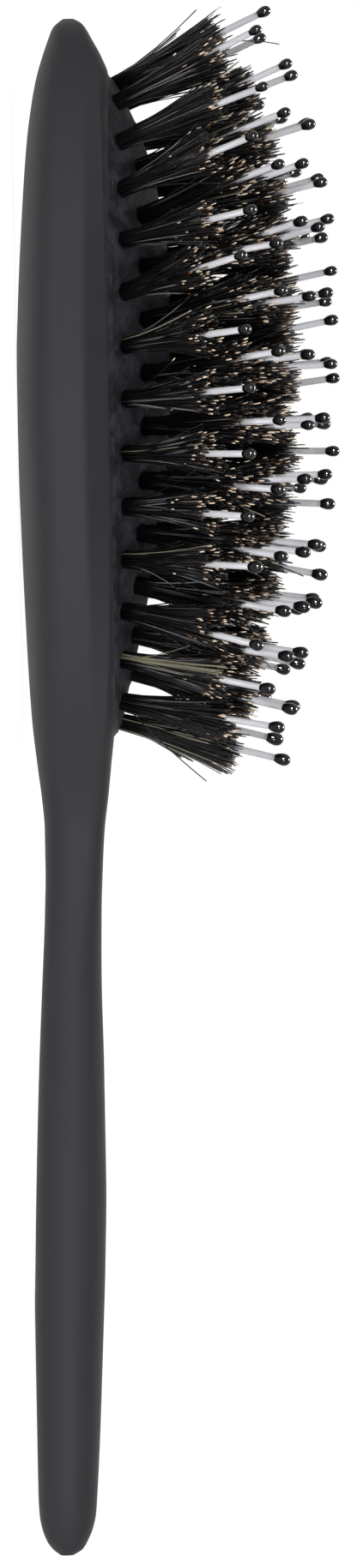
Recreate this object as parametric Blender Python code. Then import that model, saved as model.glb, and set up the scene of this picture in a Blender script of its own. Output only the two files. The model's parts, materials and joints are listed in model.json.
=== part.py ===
# Cushion brush: a one-piece body, a domed air cushion held in its head, and tufts of bristle
# that each have a ball-tipped pin in the middle. It lies on its back with its bristles up:
# +Z is up, +X runs to the head's tip, and the origin is under the middle of its length.
# Every length is in metres.
import math

import bmesh
import bpy
import numpy as np
from mathutils import Matrix, Vector

# Cushion, seen from the bristle side
cushion_length = 0.100
cushion_width = 0.048
cushion_rise = 0.0087  # crown over the head's rim
crown_tilt_share = 0.2  # how much higher the cushion stands at its tip end than at its middle
tip_swell_share = 0.8  # how much fuller it is there besides

# Head
tip_margin = 0.0076  # body past the cushion at the head's tip
heel_margin = 0.0090  # body past the cushion at the neck
side_margin = 0.0060
head_thickness = 0.0139
head_plan_share = 2.1  # power of the head's oval, where 2 is an ellipse
tip_end_half_width = 0.0022

# Neck and handle
handle_length = 0.1134
handle_thickness = 0.0108
handle_width = 0.0190
neck_blend_length = 0.036
station_spacing = 0.006

# Air chamber in the head, and the groove that holds the cushion's rim
lip_thickness = 0.0019
flange_thickness = 0.0015
flange_width = 0.0015
ledge_width = 0.0033
chamber_depth = 0.0075
fit_gap = 0.0003
vent_diameter = 0.0016
cut_overrun = 0.0060

# Rubber of the cushion, in two layers: the inner one is whole, the outer one is in slices
inner_layer = 0.0010
outer_layer = 0.0009

# Rings of tufts
edge_inset = 0.0032  # outermost ring from the cushion's edge, at the sides
edge_end_inset = 0.0023  # the same at the tip and at the handle's end
centre_row_length = 0.043
tuft_pitch = 0.0077
ring_names = ("inner", "middle", "outer", "edge")
inner_square_share = 4.0  # how much squarer than an ellipse the innermost oval is
fan_across_share = 1.5  # sideways lean of a tuft, as a share of the dome's own slope
fan_along_share = 1.15  # its lean towards either end, the same way
upright_shift = 0.009  # from the cushion's middle towards the handle, where that lean is none

# One tuft: strands at the corners of its foot, and the pin between them
strand_length = 0.0185
strand_radius = 0.00034  # at the foot; a strand ends in a point
strand_sides = 3
foot_wall = 0.00045  # from the pins' slot to the middle of a strand
foot_half_length = 0.0009  # along the ring
splay_share = 0.75  # how much wider a tuft is at its tips than at its foot

# One pin
pin_length = 0.0246  # dome to the middle of the ball
pin_radius = 0.0005
pin_sides = 5
ball_radius = 0.00075
ball_length = 0.0019
ball_shoulder_share = 0.8
rail_width = 0.0012  # strip of rubber that a ring's pins stand in

# Points round a section, round the cushion's ovals, and along what is only measured
section_points = 26
oval_points = 40
quarter_samples = 400
gap_samples = 12
weld_distance = 0.000001
bend_share = 0.5  # how far a straight run may stand off a bend, as a share of the fit gap

# Side view of the head: place along it, then its back and its front over the rest plane.
# The last two are shares of the head's thickness. A back below 0 is cut flat.
head_profile_shares = [
    (0.0, 0.553, 0.676),
    (0.0045, 0.504, 0.742),
    (0.011, 0.449, 0.793),
    (0.027, 0.393, 0.866),
    (0.055, 0.311, 0.984),
    (0.075, 0.262, 1.038),
    (0.105, 0.210, 1.032),
    (0.16, 0.144, 1.032),
    (0.25, 0.080, 1.030),
    (0.36, 0.022, 1.028),
    (0.49, -0.018, 1.026),
    (0.66, 0.011, 1.022),
    (0.80, 0.047, 1.012),
    (0.897, 0.086, 0.985),
    (0.963, 0.141, 0.928),
]
# Side view of the neck and handle, the same way, in shares of the handle's thickness
handle_profile_shares = [
    (0.0, 0.228, 1.150),
    (0.042, 0.259, 1.093),
    (0.092, 0.259, 1.057),
    (0.153, 0.239, 1.028),
    (0.25, 0.182, 1.012),
    (0.356, 0.120, 1.023),
    (0.50, 0.056, 1.023),
    (0.612, 0.018, 0.991),
    (0.727, -0.014, 0.935),
    (0.85, -0.014, 0.868),
    (0.925, 0.0, 0.815),
    (0.947, 0.011, 0.794),
    (0.965, 0.044, 0.750),
    (0.982, 0.110, 0.673),
    (0.993, 0.194, 0.600),
    (1.0, 0.287, 0.480),
]
# Plan of the head from its widest place to the neck: place along, then a share of its half width
heel_width_shares = [
    (0.0, 1.0),
    (0.25, 0.968),
    (0.45, 0.888),
    (0.60, 0.785),
    (0.72, 0.672),
    (0.82, 0.546),
    (0.90, 0.435),
]
# Plan of the neck and handle: place along it, then half its width over half the handle's width
handle_width_shares = [
    (0.0, 1.0),
    (0.04, 0.83),
    (0.09, 0.73),
    (0.15, 0.70),
    (0.22, 0.73),
    (0.35, 0.85),
    (0.50, 0.955),
    (0.65, 1.0),
    (0.80, 0.97),
    (0.90, 0.88),
    (0.95, 0.76),
    (0.98, 0.58),
    (1.0, 0.30),
]
# Section of the body: how square its back and its front are, where it is widest, where its
# side bends in towards the cushion, and how far it then goes in for its rise
head_section_shares = {"back": 2.4, "front": 6.0, "widest": 0.42, "bend": 0.706, "inward": 1.2}
handle_section_shares = {"back": 2.3, "front": 2.3, "widest": 0.50, "bend": 1.0, "inward": 0.0}

# Worked out from the sizes above
head_length = tip_margin + cushion_length + heel_margin
body_length = head_length + handle_length
head_half_width = cushion_width / 2 + side_margin
tip_x = body_length / 2
cushion_x = tip_x - tip_margin - cushion_length / 2
cushion_half_length = cushion_length / 2
cushion_half_width = cushion_width / 2
edge_half_length = cushion_half_length - edge_end_inset
edge_half_width = cushion_half_width - edge_inset
foot_half_width = rail_width / 2 + fit_gap + foot_wall
slice_inset = foot_half_width + strand_radius + fit_gap  # slice's inner edge to its ring
level_step = 1 / len(ring_names)
vent_ring = ring_names[-2]
vent_level = 1 - level_step
rim_level = 1 + level_step / 2


# Scene, materials and small helpers


def clear_scene():
    for old in list(bpy.data.objects):
        bpy.data.objects.remove(old, do_unlink=True)


def new_collection(name, hidden=False):
    collection = bpy.data.collections.new(name)
    bpy.context.scene.collection.children.link(collection)
    collection.hide_render = hidden
    return collection


def principled(name, colour, roughness, metallic=0.0):
    material = bpy.data.materials.new(name)
    material.use_nodes = True
    shader = material.node_tree.nodes["Principled BSDF"]
    shader.inputs["Base Color"].default_value = (*colour, 1.0)
    shader.inputs["Roughness"].default_value = roughness
    shader.inputs["Metallic"].default_value = metallic
    return material


def add_object(name, mesh_builder, material, collection, parent=None, smooth_angle=40):
    """Turns a bmesh into an object whose faces point outward."""
    bmesh.ops.recalc_face_normals(mesh_builder, faces=mesh_builder.faces[:])
    mesh = bpy.data.meshes.new(name)
    mesh_builder.to_mesh(mesh)
    mesh_builder.free()
    mesh.shade_smooth()
    mesh.set_sharp_from_angle(angle=math.radians(smooth_angle))
    mesh.materials.append(material)
    obj = bpy.data.objects.new(name, mesh)
    obj.parent = parent
    collection.objects.link(obj)
    return obj


def add_empty(name, location, collection, parent=None):
    empty = bpy.data.objects.new(name, None)
    empty.location = location
    empty.parent = parent
    collection.objects.link(empty)
    return empty


def helper(obj):
    obj.hide_render = True
    obj.display_type = "WIRE"
    return obj


def boolean(obj, other, operation):
    modifier = obj.modifiers.new(f"{operation.lower()} {other.name}", "BOOLEAN")
    modifier.operation = operation
    modifier.solver = "EXACT"
    modifier.object = other


def loft(rings):
    """A closed skin over rings of equal point count, with a flat cap at each end."""
    builder = bmesh.new()
    rows = [[builder.verts.new(point) for point in ring] for ring in rings]
    count = len(rows[0])
    for low, high in zip(rows, rows[1:]):
        for i in range(count):
            j = (i + 1) % count
            builder.faces.new((low[i], low[j], high[j], high[i]))
    builder.faces.new(rows[0])
    builder.faces.new(rows[-1])
    return builder


def smooth_curve(places, values):
    """A curve through the values that has no overshoot: slopes are harmonic means (Fritsch-Carlson)."""
    places, values = np.array(places), np.array(values)
    runs = np.diff(places)
    rises = np.diff(values) / runs
    slopes = np.zeros(len(places))
    slopes[0], slopes[-1] = rises[0], rises[-1]
    same = rises[:-1] * rises[1:] > 0
    both = 2 * rises[:-1] * rises[1:] / np.where(same, rises[:-1] + rises[1:], 1)
    slopes[1:-1] = np.where(same, both, 0)

    def at(x):
        k = np.clip(np.searchsorted(places, x, side="right") - 1, 0, len(runs) - 1)
        u = (x - places[k]) / runs[k]
        ease = u * u * (3 - 2 * u)
        start = values[k] * (1 - ease) + values[k + 1] * ease
        bends = slopes[k] * u * (1 - u) ** 2 - slopes[k + 1] * u * u * (1 - u)
        return start + bends * runs[k]

    return at


# Body: head, neck and handle in one moulding


def body_profile():
    """Distance from the head's tip, back and front at every place of the two tables, in metres."""
    rows = [
        (along * head_length, back * head_thickness, front * head_thickness)
        for along, back, front in head_profile_shares
    ]
    rows += [
        (
            head_length + along * handle_length,
            back * handle_thickness,
            front * handle_thickness,
        )
        for along, back, front in handle_profile_shares
    ]
    return np.array(rows)


def heel_and_handle():
    """Half the width from the head's widest place to the handle's end, as a curve."""
    widest = tip_margin + cushion_half_length
    points = [
        (widest + along * (head_length - widest), share * head_half_width)
        for along, share in heel_width_shares
    ]
    points += [
        (head_length + along * handle_length, share * handle_width / 2)
        for along, share in handle_width_shares
    ]
    return smooth_curve(*zip(*points))


def body_half_width(s, curve):
    """An oval round the tip, and past the head's widest place the curve of its heel and handle."""
    widest = tip_margin + cushion_half_length
    if s > widest:
        return float(curve(s))
    reach = (widest - s) / widest
    oval = head_half_width * (1 - reach**head_plan_share) ** (1 / head_plan_share)
    return max(oval, tip_end_half_width)


def body_section(half_width, back, front, form):
    """One section: two half ovals that meet at the widest line, with the upper one bevelled."""
    angles = np.linspace(0, 2 * np.pi, section_points, endpoint=False)
    angles += np.pi / section_points
    widest = back + form["widest"] * (front - back)
    upper = np.sin(angles) > 0
    power = 2 / np.where(upper, form["front"], form["back"])
    height = np.where(upper, front - widest, widest - back)
    y = half_width * np.sign(np.cos(angles)) * np.abs(np.cos(angles)) ** power
    z = widest + height * np.sign(np.sin(angles)) * np.abs(np.sin(angles)) ** power
    bevel_rise = np.maximum(z - back - form["bend"] * (front - back), 0)
    inward = form["inward"] * (half_width / head_half_width) ** 2
    y = np.sign(y) * np.minimum(np.abs(y), half_width - bevel_rise * inward)
    return y, np.maximum(z, 0)


def make_body(material, collection):
    profile = body_profile()
    back = smooth_curve(profile[:, 0], profile[:, 1])
    front = smooth_curve(profile[:, 0], profile[:, 2])
    outline = heel_and_handle()
    stations = [0.0]
    for start, end in zip(profile[:-1, 0], profile[1:, 0]):
        steps = max(1, round((end - start) / station_spacing))
        stations += [start + (end - start) * (i + 1) / steps for i in range(steps)]
    rings = []
    for s in stations:
        turn = np.clip((s - head_length + heel_margin) / neck_blend_length, 0, 1)
        turn = turn * turn * (3 - 2 * turn)
        form = {
            key: head_section_shares[key] * (1 - turn) + handle_section_shares[key] * turn
            for key in head_section_shares
        }
        half_width = body_half_width(s, outline)
        y, z = body_section(half_width, float(back(s)), float(front(s)), form)
        rings.append([(tip_x - s, py, pz) for py, pz in zip(y, z)])
    return add_object("handle_body", loft(rings), material, collection)


def oval_prism(name, half_length, half_width, low, high, collection, parent):
    """An upright elliptical cutter, between two heights over the rim."""
    builder = bmesh.new()
    place = Matrix.Translation((0, 0, (low + high) / 2))
    place @= Matrix.Diagonal((half_length, half_width, 1, 1))
    bmesh.ops.create_cone(
        builder,
        cap_ends=True,
        segments=oval_points,
        radius1=1,
        radius2=1,
        depth=high - low,
        matrix=place,
    )
    obj = bpy.data.objects.new(name, bpy.data.meshes.new(name))
    bmesh.ops.recalc_face_normals(builder, faces=builder.faces[:])
    builder.to_mesh(obj.data)
    builder.free()
    obj.parent = parent
    collection.objects.link(obj)
    return helper(obj)


def vent_cutter(cutters, seat):
    """The air hole, at the vented ring's end nearest the handle, down into the air chamber."""
    radius = vent_diameter / 2
    cutter = oval_prism(
        "vent_cutter", radius, radius, -chamber_depth, cushion_rise, cutters, seat
    )
    cutter.location.x = -oval_point(vent_level, 0)[0]
    return cutter


def cut_seat(body, cutters, seat):
    """Cuts the mouth, the groove for the cushion's flange and the air chamber into the head."""
    groove_top = -lip_thickness
    groove_floor = groove_top - flange_thickness - 2 * fit_gap
    cuts = [
        ("mouth", fit_gap, groove_top - fit_gap, cut_overrun),
        ("groove", flange_width + fit_gap, groove_floor, groove_top),
        ("chamber", fit_gap + flange_width - ledge_width, -chamber_depth, groove_top - fit_gap),
    ]
    for name, widen, low, high in cuts:
        cutter = oval_prism(
            f"{name}_cutter",
            cushion_half_length + widen,
            cushion_half_width + widen,
            low,
            high,
            cutters,
            seat,
        )
        boolean(body, cutter, "DIFFERENCE")


# Cushion


def dome(x, y):
    """Height of the cushion's outside over the rim: a paraboloid that swells towards the tip."""
    along = x / cushion_half_length
    level = along**2 + (y / cushion_half_width) ** 2
    swell = 1 + crown_tilt_share * along + tip_swell_share * max(along, 0) ** 2
    return cushion_rise * (1 - level) * swell


def fan_axis(x, y):
    """Unit direction of a tuft: an even dome's normal, leaned out further to the sides and the tip."""
    slope_x = 2 * cushion_rise * (x + upright_shift) / cushion_half_length**2
    slope_y = 2 * cushion_rise * y / cushion_half_width**2
    return Vector((fan_along_share * slope_x, fan_across_share * slope_y, 1)).normalized()


def oval_ring(half_length, half_width, height):
    angles = np.linspace(0, 2 * np.pi, oval_points, endpoint=False)
    return [
        (half_length * math.cos(a), half_width * math.sin(a), height) for a in angles
    ]


def dome_ring(level, inset, drop):
    """A loop round the dome at a level of its foot, drawn in by an inset and lowered by a drop."""
    ring = []
    for x, y, _ in oval_ring(cushion_half_length * level, cushion_half_width * level, 0):
        inwards_x = 1 - inset / cushion_half_length
        inwards_y = 1 - inset / cushion_half_width
        ring.append((x * inwards_x, y * inwards_y, dome(x, y) - drop))
    return ring


def make_cushion(material, collection, seat):
    """The whole inner layer: its dome, the skirt inside the mouth and the flange in the groove."""
    outside_drop = outer_layer + fit_gap
    flange_top = -lip_thickness - fit_gap
    flange_low = flange_top - flange_thickness
    dome_level_shares = (0.12, 0.35, 0.55, 0.72, 0.87, 1.0)
    rings = [dome_ring(level, 0, outside_drop) for level in dome_level_shares]
    for widen, height in (
        (0, flange_top),
        (flange_width, flange_top),
        (flange_width, flange_low),
        (-inner_layer, flange_low),
    ):
        rings.append(
            oval_ring(cushion_half_length + widen, cushion_half_width + widen, height)
        )
    for level in reversed(dome_level_shares):
        rings.append(dome_ring(level, inner_layer, outside_drop + inner_layer))
    skin = loft(rings)
    bmesh.ops.triangulate(skin, faces=skin.faces[:])
    return add_object("cushion_pad", skin, material, collection, seat)


# Ovals that the rings of tufts stand on. Level 0 is the centre row, level 1 the edge ring,
# and rim_level the cushion's own edge. Inner ovals are squarer, so that their ends stay wide.


def oval_point(level, angle):
    """x and y on the oval of a level, at an angle round from the tip."""
    inside = min(level, 1)
    past_share = max(level - 1, 0) / (rim_level - 1)
    half_length = centre_row_length / 2
    half_length += (edge_half_length - centre_row_length / 2) * inside
    half_length += (edge_end_inset - fit_gap) * past_share
    half_width = edge_half_width * inside + (edge_inset - fit_gap) * past_share
    power = 2 / (2 + inner_square_share * (1 - inside) ** 2)
    share_x, share_y = (
        math.copysign(abs(value) ** power, value) for value in (math.cos(angle), math.sin(angle))
    )
    return half_length * share_x, half_width * share_y


def distance_table(level):
    """Angles from a quarter turn before the tip to half a turn past it, and how far along they are."""
    angles = np.linspace(-np.pi / 2, np.pi, 3 * quarter_samples + 1)
    points = np.array([oval_point(level, angle) for angle in angles])
    lengths = np.concatenate([[0], np.cumsum(np.hypot(*np.diff(points, axis=0).T))])
    return angles, lengths - lengths[quarter_samples]


def angles_at(level, arcs):
    """Angles on a level's oval at the given distances along it from the tip."""
    angles, lengths = distance_table(level)
    return list(np.interp(arcs, lengths, angles))


def ring_groups(level):
    """Each group of a ring: name, its tufts' distances along the ring, its ends and its mirroring.

    The edge ring has a tuft at the tip and at the middle of each side, so its groups lie across
    those places. The other rings have gaps there, and one group to each quarter.
    """
    length = float(distance_table(level)[1][2 * quarter_samples])
    count = max(2, round(length / tuft_pitch))
    step = length / count
    if level < 1:
        arcs = [(i + 0.5) * step for i in range(count)]
        return [
            (f"{end}_{side}", arcs, (0, length), (x_sign, y_sign))
            for end, x_sign in (("front", 1), ("rear", -1))
            for side, y_sign in (("left", 1), ("right", -1))
        ]
    half = (count - 1) // 2
    turn = (half + 0.5) * step
    tip = [i * step for i in range(-half, half + 1)]
    flank = [i * step for i in range(half + 1, 2 * count - half)]
    return [
        ("front", tip, (-turn, turn), (1, 1)),
        ("rear", tip, (-turn, turn), (-1, 1)),
        ("left", flank, (turn, 2 * length - turn), (1, 1)),
        ("right", flank, (turn, 2 * length - turn), (1, -1)),
    ]


def ring_places(level, arcs):
    """A tuft at each distance along a ring: x, y and the direction along the ring."""
    places = []
    for arc in arcs:
        near, far = angles_at(level, [arc - pin_radius, arc + pin_radius])
        (x0, y0), (x1, y1) = oval_point(level, near), oval_point(level, far)
        along = Vector((x1 - x0, y1 - y0, 0)).normalized()
        places.append(((x0 + x1) / 2, (y0 + y1) / 2, along))
    return places


def flipped(points, mirror):
    return [(x * mirror[0], y * mirror[1]) for x, y in points]


def mirrored(places, mirror):
    return [
        (x * mirror[0], y * mirror[1], Vector((along.x * mirror[0], along.y * mirror[1], 0)))
        for x, y, along in places
    ]


def centre_places():
    """Each tuft of the centre row, the same way."""
    count = max(2, round(centre_row_length / tuft_pitch) + 1)
    ends = centre_row_length / 2
    return [(x, 0, Vector((1, 0, 0))) for x in np.linspace(-ends, ends, count)]


# Slices of the outer layer: a frame that the bristle stands in, and in its slot a rail of pins


def slab(columns, open_cells=()):
    """A slice with upright sides. columns holds rows of (x, y), open_cells the ones left open."""
    builder = bmesh.new()
    rows = [
        [builder.verts.new((x, y, dome(x, y))) for x, y in column] for column in columns
    ]
    for i, (one, two) in enumerate(zip(rows, rows[1:])):
        for j in range(len(one) - 1):
            if (i, j) not in open_cells:
                builder.faces.new((one[j], two[j], two[j + 1], one[j + 1]))
    made = bmesh.ops.extrude_face_region(
        builder, geom=builder.faces[:], use_keep_orig=True
    )
    low = [item for item in made["geom"] if isinstance(item, bmesh.types.BMVert)]
    bmesh.ops.translate(builder, verts=low, vec=(0, 0, -outer_layer))
    bmesh.ops.triangulate(builder, faces=builder.faces[:])
    return builder


def ring_columns(level, arcs, levels):
    """Lines across a ring at distances along it: where each meets the given levels."""
    return [
        [oval_point(across, angle) for across in levels] for angle in angles_at(level, arcs)
    ]


def bend_stops(level, start, end, mirror):
    """Distances along a ring, from start to end, close enough for straight runs to follow it."""
    stops = [start, end]
    i = 0
    while i < len(stops) - 1:
        middle = (stops[i] + stops[i + 1]) / 2
        angles = angles_at(level, [stops[i], middle, stops[i + 1]])
        plan = flipped([oval_point(level, angle) for angle in angles], mirror)
        one, bend, two = (np.array([x, y, dome(x, y)]) for x, y in plan)
        if np.linalg.norm(bend - (one + two) / 2) > fit_gap * bend_share:
            stops.insert(i + 1, middle)
        else:
            i += 1
    return stops


def ring_slabs(level, arcs, ends, mirror):
    """The frame and the rail of one group of a ring. The frame stops half a gap from its ends."""
    apart = fit_gap / edge_half_width
    inset = slice_inset / edge_half_width
    half_rail = rail_width / 2 / edge_half_width
    half_slot = half_rail + apart
    outer = rim_level if level == 1 else level + level_step - inset - apart
    levels = (level - inset, level - half_slot, level + half_slot, outer)
    start, end = arcs[0] - rail_width, arcs[-1] + rail_width
    middles = bend_stops(level, start, end, mirror)[1:-1]
    slot = [start - fit_gap, *middles, end + fit_gap]
    columns = ring_columns(level, [ends[0], *slot, ends[1]], levels)
    for column, arc, way in zip((columns[0], columns[-1]), ends, (1, -1)):
        _, _, along = ring_places(level, [arc])[0]
        shift = along * (way * fit_gap / 2)
        column[:] = [(x + shift.x, y + shift.y) for x, y in column]
    rail_columns = ring_columns(level, [start, *middles, end], (level - half_rail, level + half_rail))
    open_cells = {(i + 1, 1) for i in range(len(slot) - 1)}
    frame = slab([flipped(column, mirror) for column in columns], open_cells)
    rail = slab([flipped(column, mirror) for column in rail_columns])
    return frame, rail


def centre_slabs(places):
    """The frame and the rail of the centre row, square to its length."""
    level = level_step - (slice_inset + fit_gap) / edge_half_width
    half_length, _ = oval_point(level, 0)
    _, half_width = oval_point(level, np.pi / 2)
    power = 2 + inner_square_share * (1 - level) ** 2
    half_rail = rail_width / 2
    half_slot = half_rail + fit_gap
    rail_end = centre_row_length / 2 + rail_width
    middles = [(one[0] + two[0]) / 2 for one, two in zip(places, places[1:])]
    slot = [-rail_end - fit_gap, *middles, rail_end + fit_gap]
    frame_end = rail_end + 2 * fit_gap + strand_radius
    columns = []
    for x in [-frame_end, *slot, frame_end]:
        share = min(abs(x) / half_length, 1)
        side = max(half_width * (1 - share**power) ** (1 / power), half_slot + fit_gap)
        columns.append([(x, -side), (x, -half_slot), (x, half_slot), (x, side)])
    frame = slab(columns, {(i + 1, 1) for i in range(len(slot) - 1)})
    rail = slab([[(x, -half_rail), (x, half_rail)] for x in [-rail_end, *middles, rail_end]])
    return frame, rail


# Strands and pins


def tuft_frame(x, y, along):
    """The dome's point under a tuft, its axis, and the two directions across and along."""
    axis = fan_axis(x, y)
    across = axis.cross(along).normalized()
    return Vector((x, y, dome(x, y))), axis, across, across.cross(axis)


def strand_ends(x, y, along):
    """Foot and tip of each strand of a tuft. The foot is half way down the outer layer."""
    root, axis, across, _ = tuft_frame(x, y, along)
    sideways = Vector((-along.y, along.x, 0))
    ends = []
    for side in (-1, 1):
        for way in (-1, 1):
            reach = side * foot_half_width
            foot = root + sideways * reach + along * (way * foot_half_length)
            foot.z = dome(foot.x, foot.y) - outer_layer / 2
            spread = across * reach + along * (way * foot_half_length)
            tip = root + spread * (1 + splay_share) + axis * strand_length
            ends.append((foot, tip))
    return ends


def add_strand(builder, foot, tip):
    run = tip - foot
    turn = run.to_track_quat("Z", "Y").to_matrix().to_4x4()
    bmesh.ops.create_cone(
        builder,
        cap_ends=True,
        segments=strand_sides,
        radius1=strand_radius,
        radius2=0,
        depth=run.length,
        matrix=Matrix.Translation((foot + tip) / 2) @ turn,
    )


def pin_mesh():
    """One pin along +Z, turned from its profile: shaft, then a drop that is fuller at its top."""
    profile = [
        (0, -outer_layer / 2),
        (pin_radius, -outer_layer / 2),
        (pin_radius, pin_length - ball_length / 2),
        (ball_radius, pin_length),
        (ball_radius * ball_shoulder_share, pin_length + ball_length / 3),
        (0, pin_length + ball_length / 2),
    ]
    builder = bmesh.new()
    points = [builder.verts.new((radius, 0, z)) for radius, z in profile]
    for one, two in zip(points, points[1:]):
        builder.edges.new((one, two))
    bmesh.ops.spin(
        builder,
        geom=builder.verts[:] + builder.edges[:],
        axis=(0, 0, 1),
        cent=(0, 0, 0),
        steps=pin_sides,
        angle=2 * math.pi,
        use_merge=True,
    )
    bmesh.ops.remove_doubles(builder, verts=builder.verts[:], dist=weld_distance)
    mesh = bpy.data.meshes.new("pin")
    builder.to_mesh(mesh)
    builder.free()
    return mesh


def strands_of(places):
    builder = bmesh.new()
    for place in places:
        for foot, tip in strand_ends(*place):
            add_strand(builder, foot, tip)
    return builder


def pins_of(places, mesh):
    builder = bmesh.new()
    for place in places:
        root, axis, across, length_wise = tuft_frame(*place)
        before = len(builder.verts)
        builder.from_mesh(mesh)
        builder.verts.ensure_lookup_table()
        turn = Matrix((across, length_wise, axis)).transposed().to_4x4()
        bmesh.ops.transform(
            builder, matrix=Matrix.Translation(root) @ turn, verts=builder.verts[before:]
        )
    return builder


def least_gap(places):
    """The least gap between any two strands or pins, measured on points along them."""
    rods = [(foot, tip, strand_radius) for place in places for foot, tip in strand_ends(*place)]
    for place in places:
        root, axis, _, _ = tuft_frame(*place)
        rods.append((root, root + axis * pin_length, pin_radius))
    shares = np.linspace(0, 1, gap_samples)[:, None]
    points = np.array([np.array(a) * (1 - shares) + np.array(b) * shares for a, b, _ in rods])
    radii = np.array([radius for _, _, radius in rods])
    least = math.inf
    for i in range(len(rods) - 1):
        apart = points[i][None, :, None] - points[i + 1 :, None]
        nearest = np.sqrt((apart**2).sum(-1)).min(axis=(1, 2))
        least = min(least, float((nearest - radii[i] - radii[i + 1 :]).min()))
    return least


# Assembly


def add_group(title, slabs, stems, materials, collections, press):
    """The two nodes of one group: its frame with the bristle, and its rail with the pins."""
    parts, cutters = collections
    made = []
    for kind, backing, standing, material in zip(("tufts", "pins"), slabs, stems, materials):
        node = add_object(f"{kind}_{title}", backing, material, parts, press)
        other = add_object(f"{kind}_{title}_stems", standing, material, cutters, press)
        boolean(node, helper(other), "UNION")
        made.append(node)
    return made


def main():
    clear_scene()
    parts = new_collection("cushion_brush")
    cutters = new_collection("cutters", hidden=True)
    collections = (parts, cutters)
    coated = principled("soft_touch_black", (0.045, 0.045, 0.048), 0.55)
    rubber = principled("grey_rubber", (0.042, 0.040, 0.044), 0.62)
    bristle = principled("dark_bristle", (0.010, 0.009, 0.009), 0.38)
    nylon = principled("white_nylon", (0.75, 0.76, 0.78), 0.25)

    body = make_body(coated, parts)
    seat = add_empty("cushion_seat", (cushion_x, 0, head_thickness), parts)
    cut_seat(body, cutters, seat)
    pad = make_cushion(rubber, parts, seat)

    pin = pin_mesh()
    places = centre_places()
    everywhere = list(places)
    press = add_empty("press_centre", (0, 0, 0), parts, seat)
    materials = (bristle, nylon)
    slabs = centre_slabs(places)
    stems = (strands_of(places), pins_of(places, pin))
    add_group("centre", slabs, stems, materials, collections, press)

    vented = [pad]
    for number, ring in enumerate(ring_names):
        level = (number + 1) * level_step
        press = add_empty(f"press_{ring}", (0, 0, 0), parts, seat)
        for where, arcs, ends, mirror in ring_groups(level):
            slabs = ring_slabs(level, arcs, ends, mirror)
            places = mirrored(ring_places(level, arcs), mirror)
            stems = (strands_of(places), pins_of(places, pin))
            made = add_group(f"{ring}_{where}", slabs, stems, materials, collections, press)
            everywhere += places
            if ring == vent_ring and mirror[0] < 0:
                vented.append(made[0])

    vent = vent_cutter(cutters, seat)
    for obj in vented:
        boolean(obj, vent, "DIFFERENCE")
    strands = sum(len(strand_ends(*place)) for place in everywhere)
    print(f"{len(everywhere)} tufts, {strands} strands, {len(everywhere)} pins")
    print(f"least gap between strands and pins: {least_gap(everywhere) * 1000:.2f} mm")


main()
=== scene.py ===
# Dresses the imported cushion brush. It lies on its back, head towards +X and bristles towards +Z,
# and the camera looks at its side along -Y. Lengths are in metres.
import json
import math

import bmesh
import bpy
import numpy as np
from mathutils import Matrix, Vector

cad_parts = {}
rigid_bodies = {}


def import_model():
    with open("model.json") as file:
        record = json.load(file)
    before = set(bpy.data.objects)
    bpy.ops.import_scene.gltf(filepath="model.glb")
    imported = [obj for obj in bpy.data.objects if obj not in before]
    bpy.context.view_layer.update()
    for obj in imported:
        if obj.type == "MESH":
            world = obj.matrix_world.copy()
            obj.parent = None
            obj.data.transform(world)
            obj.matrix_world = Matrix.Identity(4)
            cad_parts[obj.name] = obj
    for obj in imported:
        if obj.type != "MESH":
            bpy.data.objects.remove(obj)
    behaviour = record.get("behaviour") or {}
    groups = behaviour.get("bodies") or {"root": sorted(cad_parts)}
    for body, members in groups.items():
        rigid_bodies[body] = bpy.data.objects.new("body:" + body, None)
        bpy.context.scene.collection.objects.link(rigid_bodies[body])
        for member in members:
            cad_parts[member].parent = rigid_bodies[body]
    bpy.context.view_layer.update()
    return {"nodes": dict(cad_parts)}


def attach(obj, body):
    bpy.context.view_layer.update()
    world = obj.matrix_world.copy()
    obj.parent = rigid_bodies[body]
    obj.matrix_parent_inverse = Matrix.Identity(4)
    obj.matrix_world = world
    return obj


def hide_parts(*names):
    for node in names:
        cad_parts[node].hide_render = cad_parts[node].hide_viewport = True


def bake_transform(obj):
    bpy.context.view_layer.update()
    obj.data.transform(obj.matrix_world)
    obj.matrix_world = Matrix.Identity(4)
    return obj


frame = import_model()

# The brush's main sizes, the same as the solids have
brush = {
    "tipX": 0.115,
    "headLength": 0.1166,
    "handleLength": 0.1134,
    "headThickness": 0.0139,
    "handleThickness": 0.0108,
    "headHalfWidth": 0.030,
    "handleHalfWidth": 0.0095,
    "headPlanPower": 2.1,  # of the superellipse that the head's plan is
    "tipEndHalfWidth": 0.0022,
    "widestPlace": 0.0576,  # from the head's tip
    "blendStart": 0.1076,  # where the head's section begins to turn into the handle's
    "blendLength": 0.036,
}
dome = {
    "x": 0.0574,
    "rim": 0.0139,
    "halfLength": 0.050,
    "halfWidth": 0.024,
    "rise": 0.0087,
    "tilt": 0.2,  # how much fuller it is at its tip end, and slacker at its heel end
    "swell": 0.8,  # how much fuller again towards its tip end alone
}


# Arrays, meshes and objects


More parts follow.
